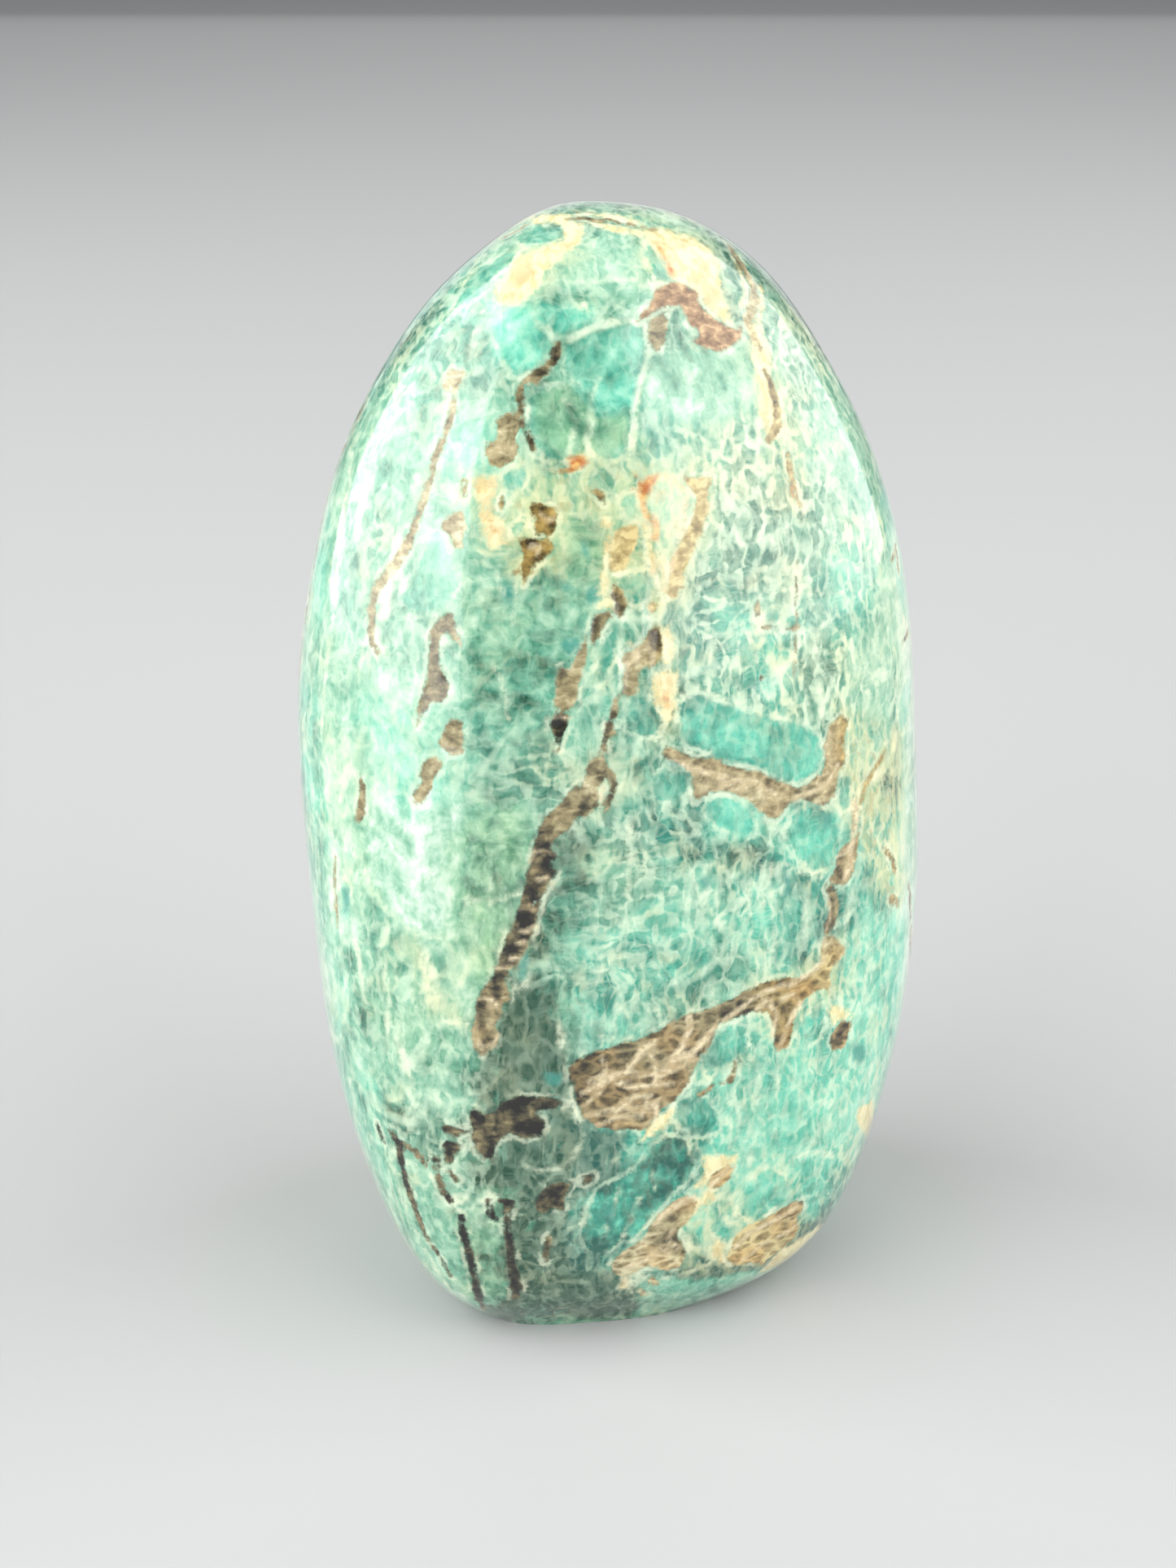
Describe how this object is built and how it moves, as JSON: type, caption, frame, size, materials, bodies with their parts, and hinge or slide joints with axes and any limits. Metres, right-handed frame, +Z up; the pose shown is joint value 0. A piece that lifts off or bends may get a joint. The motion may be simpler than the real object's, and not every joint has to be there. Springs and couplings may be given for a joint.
{
  "type": "polished amazonite freeform stone",
  "caption": "Polished upright freeform stone of blue-green amazonite with smoky brown quartz veins, rounded on all sides and cut flat underneath so that it stands by itself.",
  "frame": {"origin": "on the flat foot, under the middle of the stone's bounding box", "axes": "+Z up from the flat foot to the crown; the broad front face looks along -Y; X runs across the width"},
  "size_m": [0.0694, 0.0536, 0.12],
  "materials": {
    "polished_amazonite": "polished"
  },
  "bodies": {
    "root": {"stone": "polished_amazonite"}
  },
  "joints": []
}
